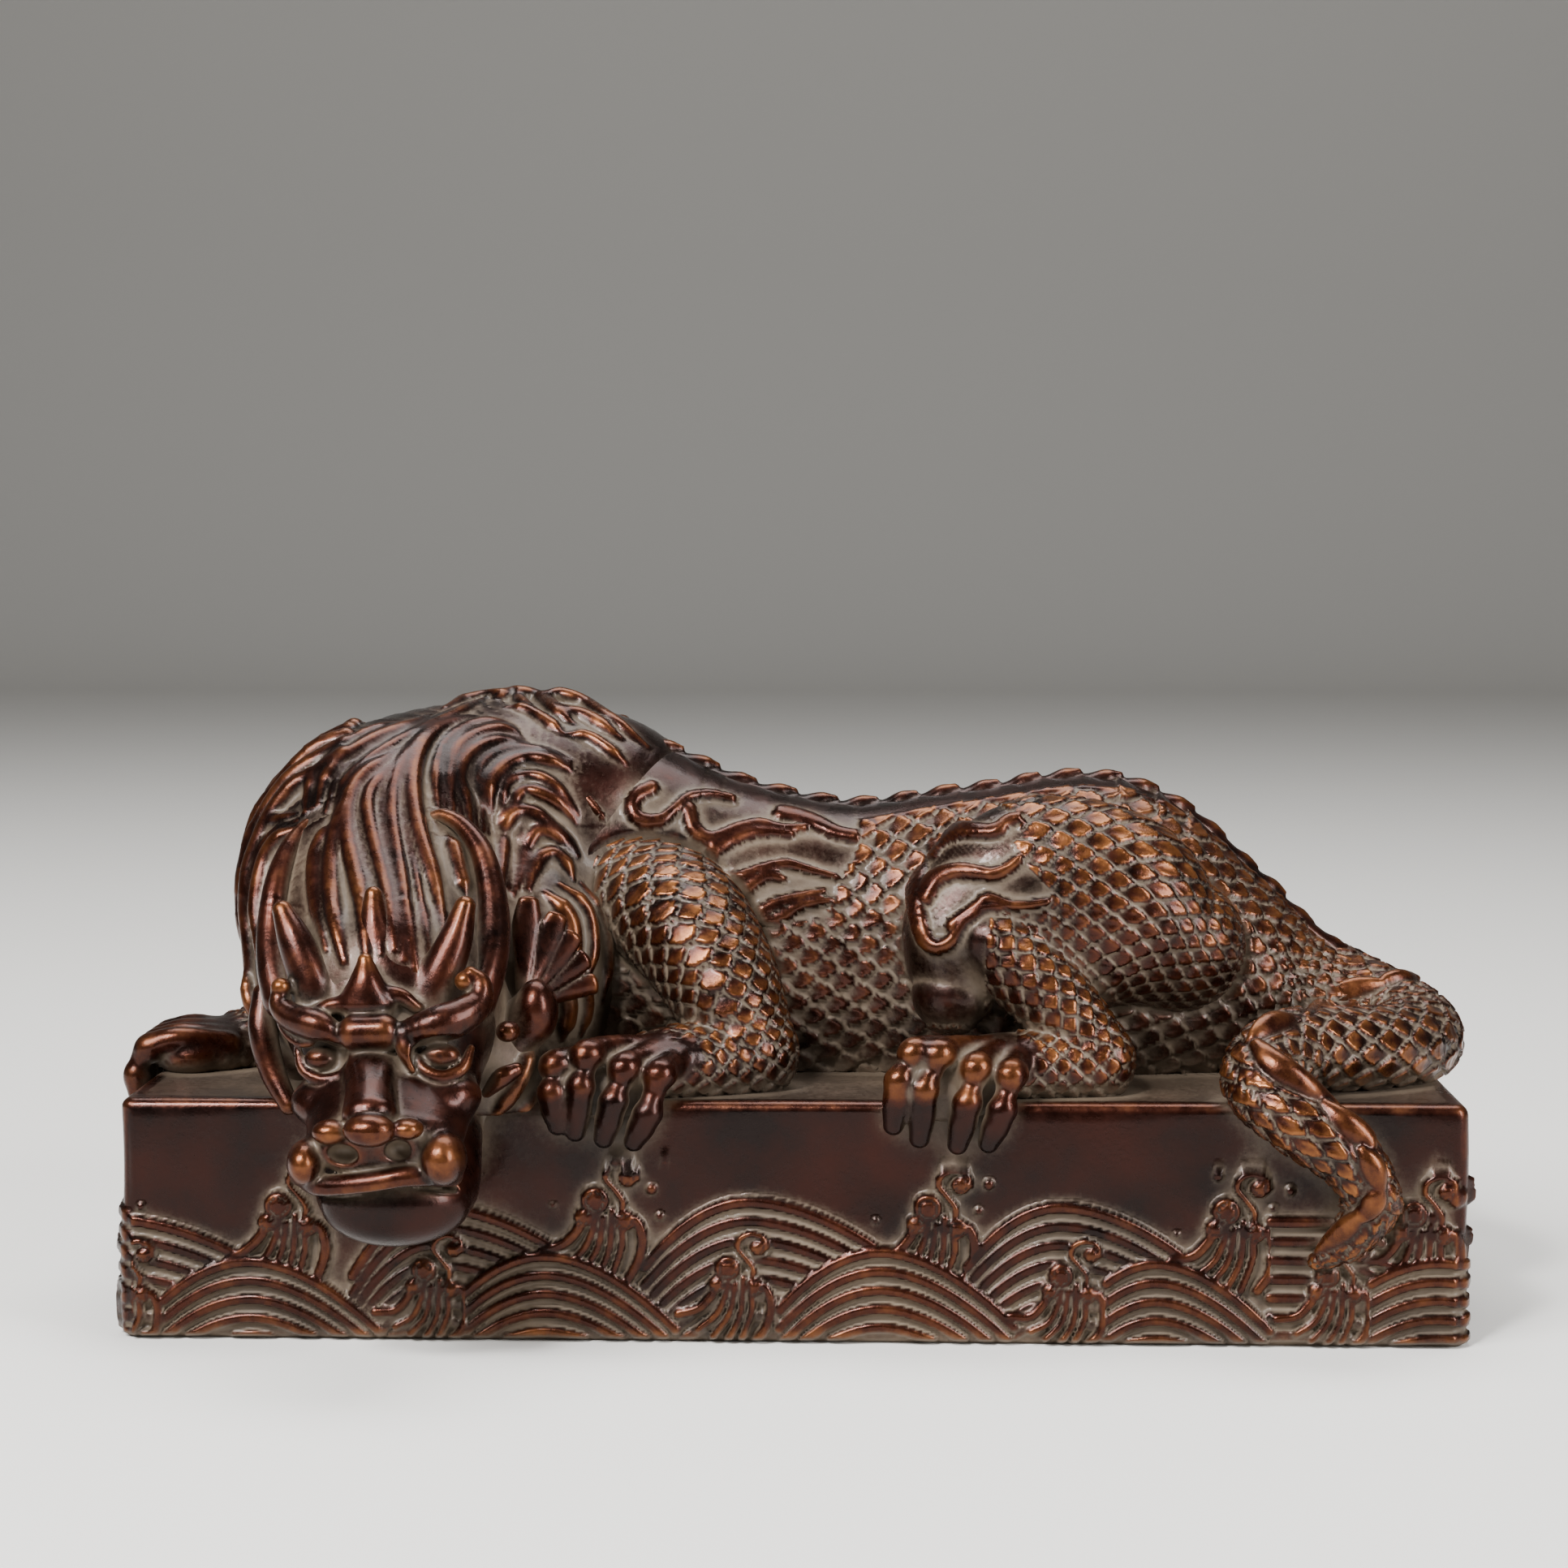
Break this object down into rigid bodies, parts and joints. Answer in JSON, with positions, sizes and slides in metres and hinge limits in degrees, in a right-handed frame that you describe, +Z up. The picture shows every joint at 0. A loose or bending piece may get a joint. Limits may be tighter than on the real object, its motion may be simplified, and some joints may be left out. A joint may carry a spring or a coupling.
{
  "type": "guardian beast statue on plinth",
  "caption": "Crouching dragon-lion guardian beast with scales, mane and horns, cast in one with an oblong plinth carved with waves",
  "frame": {"origin": "centre of the plinth's flat underside", "axes": "+X along the plinth towards the beast's tail, +Y from the front, where the head hangs, to the back, +Z up"},
  "size_m": [0.1734, 0.0924, 0.077],
  "materials": {
    "patinated_copper": "copper alloy casting with a glossy red-brown patina, worn to orange on the high points and grey with dust in the recesses"
  },
  "bodies": {
    "root": {"guardian_beast_on_plinth": "patinated_copper"}
  },
  "joints": []
}
